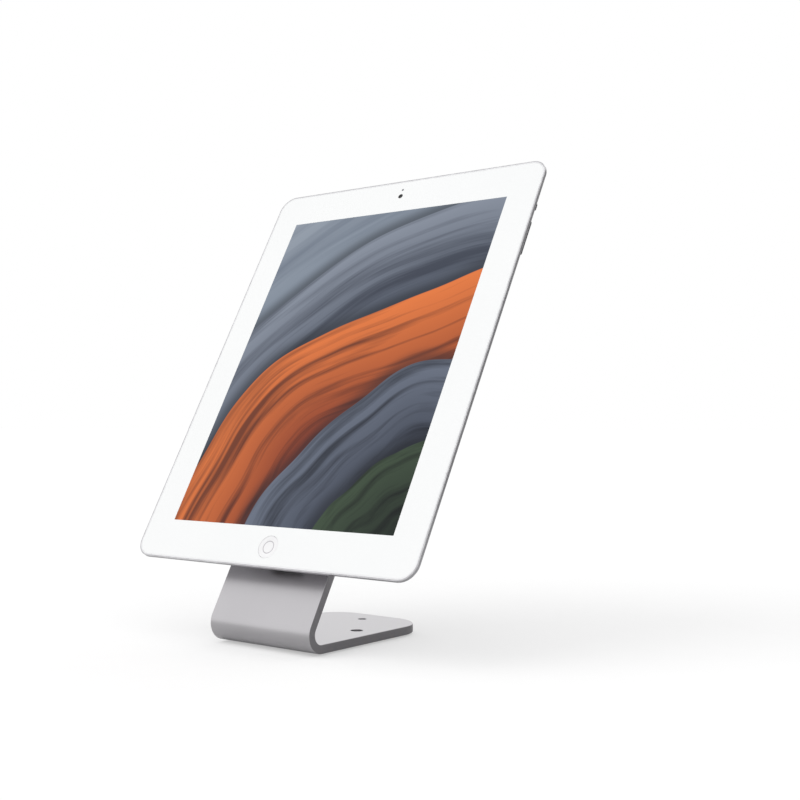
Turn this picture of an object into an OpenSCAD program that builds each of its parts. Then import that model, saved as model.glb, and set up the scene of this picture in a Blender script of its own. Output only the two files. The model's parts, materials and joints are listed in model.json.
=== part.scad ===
// Tablet security kiosk stand: a bent plate with a rear turning joint that carries a bonded tablet.
// Millimetres, +Z up. The desk is z = 0, the base is centred on the origin, and the screen faces -Y.

/* [Bent plate] */
// Width of the plate
plate_w = 66.7; // [64:0.1:90]
// Thickness of the plate
plate_t = 4.5; // [4:0.5:7]
// Depth of the base, from the front of the bend to the rear edge
base_depth = 96.5; // [90:0.5:140]
// Inside radius of the bend
bend_r = 5; // [3:0.5:9]
// Radius of the free corners of the base and the upright
corner_r = 20; // [6:1:22]
// Lean of the upright and the tablet, back from vertical
lean = 30; // [20:1:40]
// Distance up the upright from the bend to the turning axis
pivot_up = 143.1; // [138:0.1:170]
// Plate left above the turning axis
top_margin = 34; // [33:1:50]

/* [Desk fixing] */
// Diameter of the two front desk holes
desk_hole_d = 6.5; // [5:0.1:8]
// Diameter of the rear desk hole
rear_desk_hole_d = 4.8; // [4:0.1:8]
// Side of the plate to each of the two front desk holes
desk_hole_from_side = 12.85; // [10:0.05:15]
// Rear edge of the base to the front desk holes
front_hole_from_rear = 44.5; // [42:0.1:56]
// Rear edge of the base to the rear desk hole
rear_hole_from_rear = 14.4; // [14:0.1:26]
// Thickness of the non-slip pad
pad_t = 1; // [0.6:0.1:3]
// Margin of the pad inside the base's edge
pad_inset = 4; // [2:0.5:5]
// Margin of the pad around each desk hole
pad_hole_margin = 2; // [1:0.5:3]

/* [Turning joint] */
// Diameter of the spindle in its bush
spindle_d = 20; // [18:0.5:22]
// Diameter of the spindle's threaded end
thread_d = 16; // [15:0.5:17]
// Wall of the bush
bush_wall = 3; // [2:0.5:4]
// Diameter of the bush's rear flange
bush_flange_d = 36; // [32:1:38]
// Thickness of the bush's rear flange
bush_flange_t = 1; // [0.8:0.1:2]
// Diameter of the friction washers
washer_d = 40; // [36:1:42]
// Thickness of each friction washer
washer_t = 0.5; // [0.4:0.1:1]
// Diameter of the conical spring washer
spring_d = 30; // [26:1:34]
// Sheet thickness of the spring washer
spring_t = 1.2; // [0.8:0.1:1.5]
// Dish of the spring washer
spring_dish = 0.8; // [0.4:0.1:1.2]
// Width of the lock nut across its flats
nut_af = 24; // [22:0.5:26]
// Height of the lock nut
nut_h = 6; // [4:0.5:8]
// Thread showing beyond the lock nut
thread_over = 1.5; // [0.5:0.5:2]
// Diameter of the stop pin
pin_d = 5; // [4:0.5:6]
// Angle the tablet turns, portrait to landscape
turn = 90; // [60:5:90]
// Diameter of the screws that hold the spindle
hub_screw_d = 3; // [2.5:0.5:3]
// Length of the screws that hold the spindle
hub_screw_l = 7; // [6:0.5:8]

/* [Rear cap] */
// Wall of the cap around the joint
cap_wall = 2.2; // [1.6:0.1:3]
// Thickness of the cap's flat rear
cap_floor = 2; // [1.6:0.1:3]
// Rounding of the cap's rear edge
cap_round = 3; // [1.5:0.5:4]
// Diameter of the cap's screws
cap_screw_d = 3; // [2.5:0.5:3.5]
// Length of the security slot
lock_slot_l = 7; // [6:0.1:8]
// Width of the security slot
lock_slot_w = 3; // [2.5:0.1:3.5]

/* [Head plate] */
// Side of the square head plate
head_w = 100; // [84:1:130]
// Thickness of the head plate
head_t = 2.5; // [2.3:0.1:4]
// Corner radius of the head plate
head_corner_r = 12; // [5:1:20]
// Thickness of the bonding tape
tape_t = 0.6; // [0.6:0.1:2]
// Margin of the tape inside the head plate
tape_inset = 2; // [1:0.5:6]

/* [Tablet case] */
// Width of the tablet
tab_w = 185.7; // [180:0.1:200]
// Height of the tablet
tab_h = 241.2; // [238:0.1:260]
// Thickness of the tablet
tab_t = 9; // [8.6:0.1:11]
// Corner radius of the tablet
tab_corner_r = 9.5; // [8:0.5:18]
// Corner radius where the back turns flat
back_corner_r = 4; // [2:0.5:8]
// Height of the straight rim behind the front face
rim_h = 1.8; // [1.6:0.1:2.1]
// Width of the curved edge around the back
taper = 16; // [14:0.5:18]
// Least wall of the case
case_wall = 1.2; // [1:0.1:1.3]
// Width of the front lip around the glass
lip_w = 0.7; // [0.5:0.1:1]
// Width of the gasket between lip and glass
gasket_w = 0.5; // [0.3:0.1:0.8]
// Width of the rim from its outside to the upper pocket
rim_w = 4.9; // [4.6:0.1:5.2]

/* [Display] */
// Thickness of the front glass
glass_t = 1; // [0.8:0.1:1.1]
// White border at each side of the visible screen
side_border = 18.95; // [18.4:0.05:20.8]
// White border above and below the visible screen
end_border = 22.05; // [21.6:0.05:24.6]
// Panel border hidden behind the white mask
panel_border = 2; // [1:0.1:2.2]
// Thickness of the display panel
panel_t = 1.4; // [1.2:0.1:1.5]
// Margin of the backlight tray around the panel
tray_border = 2; // [1:0.1:2.2]
// Thickness of the backlight tray
tray_t = 2.4; // [2.1:0.1:2.5]
// Width of each tray ear
ear_w = 8; // [6:0.5:10]
// Thickness of each tray ear
ear_t = 0.6; // [0.5:0.1:0.9]
// Distance between the tray ears on one side
ear_pitch = 80; // [60:1:90]

/* [Controls] */
// Diameter of the home button
home_d = 12; // [10:0.5:12]
// Inward travel of the home button
home_travel = 0.5; // [0.3:0.05:0.6]
// Length of the volume rocker
rocker_l = 21; // [18:0.5:23]
// Rocking angle of the volume rocker, each way
rocker_turn = 1.5; // [1:0.1:1.6]
// Top of the tablet to the middle of the volume rocker
rocker_from_top = 48.4; // [47:0.1:53]
// Length of the side switch
switch_l = 4.5; // [3.5:0.1:5]
// Travel of the side switch
switch_travel = 1.5; // [1:0.1:2]
// Top of the tablet to the middle of the side switch
switch_from_top = 28.7; // [26:0.1:30]
// Length of the sleep button
sleep_l = 10; // [8:0.5:12]
// Right edge of the tablet to the middle of the sleep button
sleep_from_side = 22.5; // [20:0.1:26]
// Inward travel of the sleep button
sleep_travel = 0.4; // [0.3:0.05:0.5]
// Thickness of the controls on the edge
control_t = 2; // [1.6:0.1:2]
// Thickness of the flange that keeps a control in
flange_t = 2; // [1.5:0.1:2]
// Flange beyond each end of a control
flange_over = 1.5; // [1:0.1:2]

/* [Cameras and sound] */
// Diameter of the front camera's lens
lens_d = 2.9; // [2:0.1:3.5]
// Side of the square front camera module
front_cam_w = 7; // [5:0.5:7]
// Distance of the light sensor above the front camera
sensor_up = 4.5; // [4.4:0.1:4.7]
// Diameter of the rear camera's window
rear_lens_d = 6; // [4:0.5:7]
// Side of the square rear camera module
rear_cam_w = 9; // [8:0.5:10]
// Length of the speaker grille
grille_l = 24; // [18:1:30]
// Width of the speaker grille
grille_w = 5; // [4:0.5:6]
// Diameter of the grille's holes
grille_hole_d = 1.2; // [0.8:0.1:1.4]
// Bore of the headphone socket
jack_bore_d = 3.6; // [3.5:0.05:3.8]
// Outside diameter of the headphone socket
jack_d = 4.6; // [4.5:0.1:4.8]
// Left edge of the tablet to the headphone socket
jack_from_side = 22; // [20:0.1:26]
// Width of the dock opening
dock_w = 21; // [18:0.5:24]
// Height of the dock opening
dock_h = 2; // [1.6:0.1:2.2]

/* [Boards and battery] */
// Width of the logic board
board_w = 25; // [20:0.5:30]
// Thickness of the logic board
board_t = 0.8; // [0.6:0.1:1]
// Height of the bosses under the logic board
boss_h = 0.8; // [0.6:0.1:1]
// Diameter of the bosses under the logic board
boss_d = 4; // [3.5:0.1:4.5]
// Diameter of the small case screws
small_screw_d = 1.4; // [1.2:0.1:1.6]
// Space left between battery and backlight tray
battery_gap = 0.4; // [0.3:0.1:0.6]
// Space between neighbours inside the case
inner_gap = 1.5; // [1:0.1:2]

/* [Clearances] */
// Radial running fit of the spindle in its bush
run_gap = 0.05; // [0.02:0.01:0.08]
// Gap around pieces that are pressed or glued in
seat_gap = 0.03; // [0.02:0.01:0.05]
// Gap around moving pieces
play = 0.3; // [0.2:0.05:0.35]

/* [Hidden] */
$fn = 64;
hull_fn = 32;
cut_over = 1;
corner_ease = 0.01;

// Bent plate
bend_out = bend_r + plate_t;
bend_y = bend_out - base_depth / 2;
bend_z = pad_t + bend_out;
base_rear = base_depth / 2;
upright_l = pivot_up + top_margin;
bend_steps = 30;
pivot_y = bend_y - bend_out * cos(lean) + pivot_up * sin(lean);
pivot_z = bend_z + bend_out * sin(lean) + pivot_up * cos(lean);
desk_hole_pitch = plate_w - 2 * desk_hole_from_side;
front_hole_y = base_rear - front_hole_from_rear;
rear_hole_y = base_rear - rear_hole_from_rear;
desk_holes = [
    [-desk_hole_pitch / 2, front_hole_y, desk_hole_d],
    [desk_hole_pitch / 2, front_hole_y, desk_hole_d],
    [0, rear_hole_y, rear_desk_hole_d]
];

// Turning joint, along its own axis from the upright's front face
bush_d = spindle_d + 2 * bush_wall;
bush_rear_z = -plate_t - bush_flange_t;
shoulder_gap = 0.2;
shoulder_z = bush_rear_z + shoulder_gap;
spring_front_z = bush_rear_z - washer_t;
spring_rear_z = spring_front_z - spring_t - spring_dish;
spring_land = 1;
nut_rear_z = spring_rear_z - nut_h;
spindle_rear_z = nut_rear_z - thread_over;
washer_bore_d = thread_d + 2 * play;
hub_wall = 0.5;
hub_circle_r = thread_d / 2 - hub_screw_d / 2 - hub_wall;
screw_head_ratio = 2;
hub_head_d = screw_head_ratio * hub_screw_d;
hub_head_h = (hub_head_d - hub_screw_d) / 2;
hub_count = 4;
socket_ratio = 0.62;
pan_ratio = 0.6;
slot_margin = 1.5;
pin_circle_r = washer_d / 2 + slot_margin + pin_d / 2;
pin_start = 90 + turn / 2;
pin_short = 0.5;

// Rear cap
cap_clear = 1;
cap_inner_r = pin_circle_r + pin_d / 2 + play + cap_clear;
cap_r = cap_inner_r + cap_wall;
cap_rear_z = spindle_rear_z - cap_clear - cap_floor;
cap_head_d = screw_head_ratio * cap_screw_d;
cap_head_h = pan_ratio * cap_screw_d;
cap_boss_d = cap_head_d + cap_wall;
cap_screw_r = cap_inner_r - cap_boss_d / 2 + seat_gap;
cap_screw_hole_d = cap_screw_d + 2 * seat_gap;
cap_head_hole_d = cap_head_d + 2 * play;
cap_sides = [-1, 1];
lock_slot_y = -(cap_inner_r + nut_af / 2) / 2;

// Head plate and tape
head_z = washer_t;
tape_z = head_z + head_t;
case_z = tape_z + tape_t;
tape_hole_d = 2 * hub_circle_r + hub_head_d + inner_gap;

// Tablet, depth from the front face
ledge_inset = rim_w - case_wall;
floor_depth = tab_t - case_wall;
floor_inset = hundredth(inset_at(floor_depth)) + case_wall;
ledge_depth = hundredth(depth_at(ledge_inset));
upper_w = tab_w - 2 * rim_w;
upper_h = tab_h - 2 * rim_w;
lower_w = tab_w - 2 * floor_inset;
lower_h = tab_h - 2 * floor_inset;
upper_corner_r = hundredth(corner_at(ledge_inset));
lower_corner_r = hundredth(corner_at(inset_at(floor_depth)));
recess_w = tab_w - 2 * lip_w;
recess_h = tab_h - 2 * lip_w;
recess_corner_r = tab_corner_r - lip_w;
glass_inset = lip_w + gasket_w;
glass_w = tab_w - 2 * glass_inset;
glass_h = tab_h - 2 * glass_inset;
glass_corner_r = tab_corner_r - glass_inset;
screen_w = tab_w - 2 * side_border;
screen_h = tab_h - 2 * end_border;
panel_w = screen_w + 2 * panel_border;
panel_h = screen_h + 2 * panel_border;
tray_w = panel_w + 2 * tray_border;
tray_h = panel_h + 2 * tray_border;
tray_depth = glass_t + panel_t;
tray_rear = tray_depth + tray_t;
tray_corner_r = 2;
battery_depth = tray_rear + battery_gap;
ear_reach = (lower_w / 2 + upper_w / 2) / 2;
taper_steps = 6;
slice_t = 0.02;

// Small case screws
small_head_d = 2 * small_screw_d;
small_head_h = 0.4;
small_shank_l = 0.7;
small_hole_d = small_screw_d + 2 * seat_gap;
ear_screw_u = lower_w / 2 + small_head_d / 2 + seat_gap;

// Controls
border_mid = (tab_h - end_border) / 2;
home_v = -border_mid;
home_recess = 0.1;
home_hole_d = home_d + 2 * play;
home_stem_over = 3;
home_stem_w = home_d + 2 * home_stem_over;
home_stem_l = home_d / 2;
home_stem_t = 0.6;
home_stem_depth = glass_t + seat_gap;
home_ring_w = 0.5;
home_ring_depth = 0.12;
control_gap = 0.4;
control_depth = rim_h + control_gap + control_t / 2;
control_slack = 0.2;
control_sink = 1.25;
control_out_u = tab_w / 2 - control_sink;
control_out_v = tab_h / 2 - control_sink;
rock_reach = (rocker_l / 2 + flange_over) * sin(rocker_turn);
flange_out_u = upper_w / 2 - rock_reach - play;
flange_in_u = flange_out_u - flange_t;
board_gap = rock_reach + play;
board_in_t = 1.6;
rocker_v = tab_h / 2 - rocker_from_top;
rocker_u = flange_in_u + flange_t / 2;
rocker_slack = (control_out_u - rocker_u) * sin(rocker_turn) + play;
switch_v = tab_h / 2 - switch_from_top;
sleep_u = tab_w / 2 - sleep_from_side;
dome_d = 1.6;
dome_h = 0.25;

// Cameras, sensor, sound and sockets
camera_v = border_mid;
sensor_v = camera_v + sensor_up;
sensor_w = 3;
sensor_h = 1.4;
flat_w = tab_w - 2 * taper;
flat_h = tab_h - 2 * taper;
rear_cam_u = flat_w / 2 - rear_lens_d / 2 - cut_over;
rear_cam_v = flat_h / 2 - rear_lens_d / 2 - cut_over;
rear_hole_d = rear_lens_d + 2 * seat_gap;
grille_u = inner_gap * 2 + grille_l / 2 - flat_w / 2;
grille_v = inner_gap * 2 + grille_w / 2 - flat_h / 2;
grille_t = 0.6;
grille_pitch = 2 * grille_hole_d;
grille_columns = floor((grille_l - grille_w) / grille_pitch / 2);
speaker_l = grille_l + 2 * inner_gap;
speaker_w = grille_w + 2 * inner_gap;
jack_u = jack_from_side - tab_w / 2;
jack_depth = ledge_depth - play;
jack_out_v = tab_h / 2 - inset_at(jack_depth + jack_d / 2) - seat_gap;
jack_in_v = tray_h / 2 + play;
jack_floor = 1;
jack_bore_l = jack_out_v - jack_in_v - jack_floor;
dock_wall = 0.9;
dock_case_w = dock_w + 2 * dock_wall;
dock_top = ledge_depth - dock_wall;
dock_depth = dock_top + dock_wall + dock_h / 2;
dock_bottom = dock_depth + dock_h / 2 + dock_wall / 2;
dock_out_v = case_wall - tab_h / 2 + inset_at(dock_bottom);
dock_in_v = -tray_h / 2 - play;
dock_tongue_t = 0.7;

// Boards and battery, in the lower pocket
board_u1 = lower_w / 2 - inner_gap;
board_u0 = board_u1 - board_w;
board_v1 = rear_cam_v - rear_cam_w / 2 - inner_gap;
board_v0 = grille_v + speaker_w / 2 + inner_gap;
board_depth = floor_depth - boss_h - board_t;
board_mid_u = (board_u0 + board_u1) / 2;
board_mid_v = (board_v0 + board_v1) / 2;
boss_inset = boss_d / 2 + seat_gap;
boss_us = [board_u0 + boss_inset, board_u1 - boss_inset];
boss_vs = [board_v0 + boss_inset, board_v1 - boss_inset];
shield_w = board_w - 2 * boss_d - inner_gap;
shield_l = 60;
shield_wall = 0.2;
shield_depth = tray_rear + battery_gap / 2;
chip_w = shield_w - 4 * shield_wall;
chip_l = 16;
chip_t = 0.6;
chip_pitch = 18;
cell_count = 2;
cells_u0 = -board_u1;
cells_u1 = board_u0 - inner_gap;
cell_w = (cells_u1 - cells_u0 - inner_gap * (cell_count - 1)) / cell_count;
cell_v0 = board_v0;
cell_v1 = jack_in_v - inner_gap;
cell_corner_r = 2;

// Length rounded to a hundredth of a millimetre, for pockets whose corners join flat walls
function hundredth(l) = round(l * 100) / 100;

// Inset of the curved edge at a depth behind the front face
function inset_at(depth) = taper * (1 - sqrt((tab_t - depth) / (tab_t - rim_h)));

// Depth behind the front face where the curved edge has an inset
function depth_at(inset) = tab_t - (tab_t - rim_h) * pow((taper - inset) / taper, 2);

// Corner radius of the tablet's outline where the curved edge has an inset
function corner_at(inset) = tab_corner_r + (back_corner_r - tab_corner_r) * inset / taper;

// Points of the bend's side view, on one radius between two angles
function bend_arc(r, a0, a1) = [
    for (i = [0 : bend_steps])
        let (a = a0 + (a1 - a0) * i / bend_steps)
            [bend_y + r * cos(a), bend_z + r * sin(a)]
];

// Point of the upright's side view, on one radius beyond the bend, at a length up the upright
function upright_point(r, l) = [
    bend_y - r * cos(lean) + l * sin(lean),
    bend_z + r * sin(lean) + l * cos(lean)
];

// Turning axis on the upright's front face: X right, Y up the upright, Z out of the screen
module at_pivot() {
    translate([0, pivot_y, pivot_z])
        rotate([90 - lean, 0, 0])
            children();
}

// Tablet frame: as at the turning axis, with Z from the back of the tablet
module at_tablet() {
    at_pivot()
        translate([0, 0, case_z])
            children();
}

// Flat outline with four rounded corners
module rounded_rect(w, h, r) {
    square([w - 2 * r, h], center = true);
    square([w, h - 2 * r], center = true);
    for (x = [-1, 1], y = [-1, 1])
        translate([x * (w / 2 - r), y * (h / 2 - r)])
            circle(r);
}

// Waste outside the two far corners of a plate, y from 0 to l, when they are rounded
module corner_waste(w, l, r) {
    for (x = [-1, 1])
        translate([x * (w / 2 + corner_ease - r), l + corner_ease - r])
            difference() {
                translate([x * (r + cut_over) / 2, (r + cut_over) / 2])
                    square(r + cut_over, center = true);
                circle(r);
            }
}

// Flat bar with round ends
module pill(l, w) {
    square([l - w, w], center = true);
    for (x = [-1, 1])
        translate([x * (l - w) / 2, 0])
            circle(w / 2);
}

// Rounded slab in the tablet frame, between two depths behind the front face
module slab(w, h, r, d0, d1) {
    translate([0, 0, tab_t - d1])
        linear_extrude(d1 - d0)
            rounded_rect(w, h, r);
}

// Box in the tablet frame from ranges across, up and behind the front face
module block(u, v, d) {
    translate([u[0], v[0], tab_t - d[1]])
        cube([u[1] - u[0], v[1] - v[0], d[1] - d[0]]);
}

// Round bar in the tablet frame, between two depths behind the front face
module post(u, v, r, d0, d1) {
    translate([u, v, tab_t - d1])
        cylinder(h = d1 - d0, r = r);
}

// Round-ended bar that runs across the tablet, between two places across
module side_bar(u, v, depth, l, w) {
    translate([u[0], v, tab_t - depth])
        rotate([90, 0, 90])
            linear_extrude(u[1] - u[0])
                pill(l, w);
}

// Round-ended bar that runs up the tablet, between two places up
module top_bar(u, v, depth, l, w) {
    translate([u, v[1], tab_t - depth])
        rotate([90, 0, 0])
            linear_extrude(v[1] - v[0])
                pill(l, w);
}

// Ring about the turning axis between two heights
module ring(outer_d, bore_d, z0, z1) {
    translate([0, 0, z0])
        difference() {
            cylinder(h = z1 - z0, d = outer_d);
            translate([0, 0, -cut_over])
                cylinder(h = z1 - z0 + 2 * cut_over, d = bore_d);
        }
}

// Curved path of the stop pin, widened for the pin and its play
module stop_slot() {
    slot_w = pin_d + 2 * play;
    translate([0, 0, -plate_t - cut_over]) {
        rotate([0, 0, pin_start - turn])
            rotate_extrude(angle = turn)
                translate([pin_circle_r - slot_w / 2, 0])
                    square([slot_w, plate_t + 2 * cut_over]);
        for (a = [pin_start - turn, pin_start])
            rotate([0, 0, a])
                translate([pin_circle_r, 0, 0])
                    cylinder(h = plate_t + 2 * cut_over, d = slot_w);
    }
}

// Base, bend and upright in one bent sheet with square ends
module bent_sheet() {
    translate([-plate_w / 2, 0, 0])
        rotate([90, 0, 90])
            linear_extrude(plate_w)
                polygon(concat(
                    [[base_rear, pad_t]],
                    bend_arc(bend_out, 270, 180 - lean),
                    [upright_point(bend_out, upright_l), upright_point(bend_r, upright_l)],
                    bend_arc(bend_r, 180 - lean, 270),
                    [[base_rear, pad_t + plate_t]]
                ));
}

module stand_plate() {
    color("silver")
        difference() {
            bent_sheet();
            translate([0, 0, pad_t - cut_over])
                linear_extrude(plate_t + 2 * cut_over)
                    corner_waste(plate_w, base_rear, corner_r);
            for (p = desk_holes)
                translate([p[0], p[1], pad_t - cut_over])
                    cylinder(h = plate_t + 2 * cut_over, d = p[2]);
            at_pivot() {
                translate([0, 0, -plate_t - cut_over])
                    linear_extrude(plate_t + 2 * cut_over)
                        corner_waste(plate_w, top_margin, corner_r);
                translate([0, 0, -plate_t - cut_over])
                    cylinder(h = plate_t + 2 * cut_over, d = bush_d + 2 * seat_gap);
                stop_slot();
                for (side = cap_sides)
                    translate([side * cap_screw_r, 0, -plate_t - cut_over])
                        cylinder(h = plate_t + 2 * cut_over, d = cap_screw_hole_d);
            }
        }
}

module base_pad() {
    pad_l = base_rear - bend_y - 2 * pad_inset;
    color("dimgray")
        linear_extrude(pad_t)
            difference() {
                translate([0, (base_rear + bend_y) / 2])
                    rounded_rect(plate_w - 2 * pad_inset, pad_l, corner_r - pad_inset);
                for (p = desk_holes)
                    translate([p[0], p[1]])
                        circle(d = p[2] + 2 * pad_hole_margin);
            }
}

module pivot_bush() {
    color("ivory")
        at_pivot()
            difference() {
                union() {
                    translate([0, 0, -plate_t])
                        cylinder(h = plate_t, d = bush_d);
                    translate([0, 0, bush_rear_z])
                        cylinder(h = bush_flange_t, d = bush_flange_d);
                }
                translate([0, 0, bush_rear_z - cut_over])
                    cylinder(h = plate_t + bush_flange_t + 2 * cut_over, d = spindle_d + 2 * run_gap);
            }
}

module friction_washer_front() {
    color("ivory")
        at_pivot()
            ring(washer_d, spindle_d + 2 * play, 0, washer_t);
}

module friction_washer_rear() {
    color("ivory")
        at_pivot()
            ring(bush_flange_d, washer_bore_d, spring_front_z, bush_rear_z);
}

// Half section of the cap's outside, with its rear edge rounded
module cap_section(r, h, round_r) {
    square([r, h - round_r]);
    square([r - round_r, h]);
    translate([r - round_r, h - round_r])
        circle(round_r);
}

module rear_cap() {
    cap_h = -plate_t - cap_rear_z;
    hollow_h = cap_h - cap_floor;
    color("gainsboro")
        at_pivot()
            translate([0, 0, -plate_t])
                mirror([0, 0, 1])
                    difference() {
                        rotate_extrude()
                            intersection() {
                                cap_section(cap_r, cap_h, cap_round);
                                square([cap_r, cap_h]);
                            }
                        difference() {
                            translate([0, 0, -cut_over])
                                cylinder(h = hollow_h + cut_over, r = cap_inner_r);
                            for (side = cap_sides)
                                translate([side * cap_screw_r, 0, -2 * cut_over])
                                    cylinder(h = cap_h, d = cap_boss_d);
                        }
                        for (side = cap_sides)
                            translate([side * cap_screw_r, 0, 0]) {
                                translate([0, 0, -cut_over])
                                    cylinder(h = cap_h + 2 * cut_over, d = cap_screw_hole_d);
                                translate([0, 0, cap_h - cap_head_h])
                                    cylinder(h = cap_head_h + cut_over, d = cap_head_hole_d);
                            }
                        translate([0, lock_slot_y, hollow_h - cut_over])
                            linear_extrude(cap_floor + 2 * cut_over)
                                square([lock_slot_l, lock_slot_w], center = true);
                    }
}

module cap_screws() {
    color("gray")
        at_pivot()
            for (side = cap_sides)
                translate([side * cap_screw_r, 0, cap_rear_z])
                    difference() {
                        union() {
                            cylinder(h = cap_head_h, d = cap_head_d);
                            cylinder(h = -cap_rear_z, d = cap_screw_d);
                        }
                        translate([0, 0, -cut_over])
                            cylinder(h = cap_head_h / 2 + cut_over, d = cap_head_d * socket_ratio, $fn = 6);
                    }
}

// Places of the spindle's screws on the head plate
module at_hub_screws() {
    for (i = [0 : hub_count - 1])
        rotate([0, 0, (i + 0.5) * 360 / hub_count])
            translate([hub_circle_r, 0, 0])
                children();
}

// Countersunk screw, head up, with its top at z = 0
module countersunk(d, head_d, head_h, l) {
    translate([0, 0, -head_h])
        cylinder(h = head_h, d1 = d, d2 = head_d);
    translate([0, 0, -l])
        cylinder(h = l - head_h / 2, d = d);
}

module head_plate() {
    color("gray")
        at_pivot()
            difference() {
                translate([0, 0, head_z])
                    linear_extrude(head_t)
                        rounded_rect(head_w, head_w, head_corner_r);
                at_hub_screws()
                    translate([0, 0, tape_z])
                        countersunk(
                            hub_screw_d + 2 * seat_gap, hub_head_d + 2 * seat_gap,
                            hub_head_h + seat_gap, head_t + cut_over
                        );
                rotate([0, 0, pin_start])
                    translate([pin_circle_r, 0, head_z - cut_over])
                        cylinder(h = head_t + 2 * cut_over, d = pin_d + 2 * seat_gap);
            }
}

module bonding_tape() {
    color("dimgray")
        at_pivot()
            translate([0, 0, tape_z])
                linear_extrude(tape_t)
                    difference() {
                        rounded_rect(
                            head_w - 2 * tape_inset, head_w - 2 * tape_inset,
                            head_corner_r - tape_inset
                        );
                        circle(d = tape_hole_d);
                    }
}

module pivot_spindle() {
    color("darkgray")
        at_pivot()
            difference() {
                union() {
                    translate([0, 0, shoulder_z])
                        cylinder(h = head_z - shoulder_z, d = spindle_d);
                    translate([0, 0, spindle_rear_z])
                        cylinder(h = shoulder_z - spindle_rear_z, d = thread_d);
                }
                at_hub_screws()
                    translate([0, 0, tape_z - hub_screw_l - cut_over])
                        cylinder(h = hub_screw_l + cut_over, d = hub_screw_d + 2 * seat_gap);
            }
}

module hub_screws() {
    color("dimgray")
        at_pivot()
            at_hub_screws()
                translate([0, 0, tape_z])
                    difference() {
                        countersunk(hub_screw_d, hub_head_d, hub_head_h, hub_screw_l);
                        translate([0, 0, -hub_head_h / 2])
                            cylinder(h = hub_head_h, d = hub_screw_d * socket_ratio, $fn = 6);
                    }
}

module spring_washer() {
    inner_r = washer_bore_d / 2;
    color("silver")
        at_pivot()
            translate([0, 0, spring_rear_z])
                rotate_extrude()
                    polygon([
                        [inner_r, 0],
                        [inner_r + spring_land, 0],
                        [spring_d / 2, spring_dish],
                        [spring_d / 2, spring_dish + spring_t],
                        [spring_d / 2 - spring_land, spring_dish + spring_t],
                        [inner_r, spring_t]
                    ]);
}

module lock_nut() {
    color("silver")
        at_pivot()
            translate([0, 0, nut_rear_z])
                difference() {
                    cylinder(h = nut_h, d = nut_af / cos(30), $fn = 6);
                    translate([0, 0, -cut_over])
                        cylinder(h = nut_h + 2 * cut_over, d = thread_d + 2 * seat_gap);
                }
}

module stop_pin() {
    color("darkgray")
        at_pivot()
            rotate([0, 0, pin_start])
                translate([pin_circle_r, 0, pin_short - plate_t])
                    cylinder(h = tape_z + plate_t - pin_short, d = pin_d);
}

// Outside of the tablet: straight rim, curved edge and flat back
module case_outside() {
    hull() {
        slab(tab_w, tab_h, tab_corner_r, 0, rim_h, $fn = hull_fn);
        for (i = [1 : taper_steps]) {
            inset = taper * i / taper_steps;
            depth = depth_at(inset);
            slab(tab_w - 2 * inset, tab_h - 2 * inset, corner_at(inset), depth - slice_t, depth,
                $fn = hull_fn);
        }
    }
}

// Openings through the edge for the side controls and the sleep button
module control_openings() {
    opening_w = control_t + 2 * control_slack;
    side_u = [upper_w / 2 - cut_over, tab_w / 2 + cut_over];
    top_v = [upper_h / 2 - cut_over, tab_h / 2 + cut_over];
    switch_opening_l = switch_l + switch_travel + 2 * play;
    side_bar(side_u, rocker_v, control_depth, rocker_l + 2 * rocker_slack, opening_w);
    side_bar(side_u, switch_v - switch_travel / 2, control_depth, switch_opening_l, opening_w);
    top_bar(sleep_u, top_v, control_depth, sleep_l + 2 * play, opening_w);
}

// Openings for the sockets, the rear camera and the speaker
module socket_openings() {
    jack_cut_v = [jack_in_v - seat_gap, tab_h / 2 + cut_over];
    translate([jack_u, jack_cut_v[1], tab_t - jack_depth])
        rotate([90, 0, 0])
            cylinder(h = jack_cut_v[1] - jack_cut_v[0], d = jack_d + 2 * seat_gap);
    block(
        [-dock_w / 2, dock_w / 2],
        [-tab_h / 2 - cut_over, dock_out_v + cut_over],
        [dock_depth - dock_h / 2, dock_depth + dock_h / 2]
    );
    block(
        [-dock_case_w / 2 - seat_gap, dock_case_w / 2 + seat_gap],
        [dock_out_v - seat_gap, dock_in_v],
        [dock_top - seat_gap, dock_bottom + seat_gap]
    );
    post(rear_cam_u, rear_cam_v, rear_hole_d / 2, floor_depth - cut_over, tab_t + cut_over);
    translate([grille_u, grille_v, -cut_over])
        linear_extrude(case_wall + 2 * cut_over)
            pill(grille_l + 2 * seat_gap, grille_w + 2 * seat_gap);
}

module rear_case() {
    color("lightgray")
        at_tablet() {
            difference() {
                case_outside();
                slab(recess_w, recess_h, recess_corner_r, -cut_over, glass_t);
                slab(upper_w, upper_h, upper_corner_r, glass_t - cut_over, ledge_depth);
                slab(lower_w, lower_h, lower_corner_r, ledge_depth - cut_over, floor_depth);
                control_openings();
                socket_openings();
                for (x = [-1, 1], y = [-1, 1])
                    post(x * ear_screw_u, y * ear_pitch / 2, small_hole_d / 2, ledge_depth - cut_over,
                        ledge_depth + small_shank_l);
            }
            for (u = boss_us, v = boss_vs)
                difference() {
                    post(u, v, boss_d / 2, floor_depth - boss_h, floor_depth + case_wall / 2);
                    post(u, v, small_hole_d / 2, floor_depth - boss_h - cut_over,
                        floor_depth - boss_h + small_shank_l);
                }
        }
}

module case_gasket() {
    color("gray")
        at_tablet()
            difference() {
                slab(recess_w - 2 * seat_gap, recess_h - 2 * seat_gap, recess_corner_r - seat_gap,
                    0, glass_t);
                slab(glass_w + 2 * seat_gap, glass_h + 2 * seat_gap, glass_corner_r + seat_gap,
                    -cut_over, glass_t + cut_over);
            }
}

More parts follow.
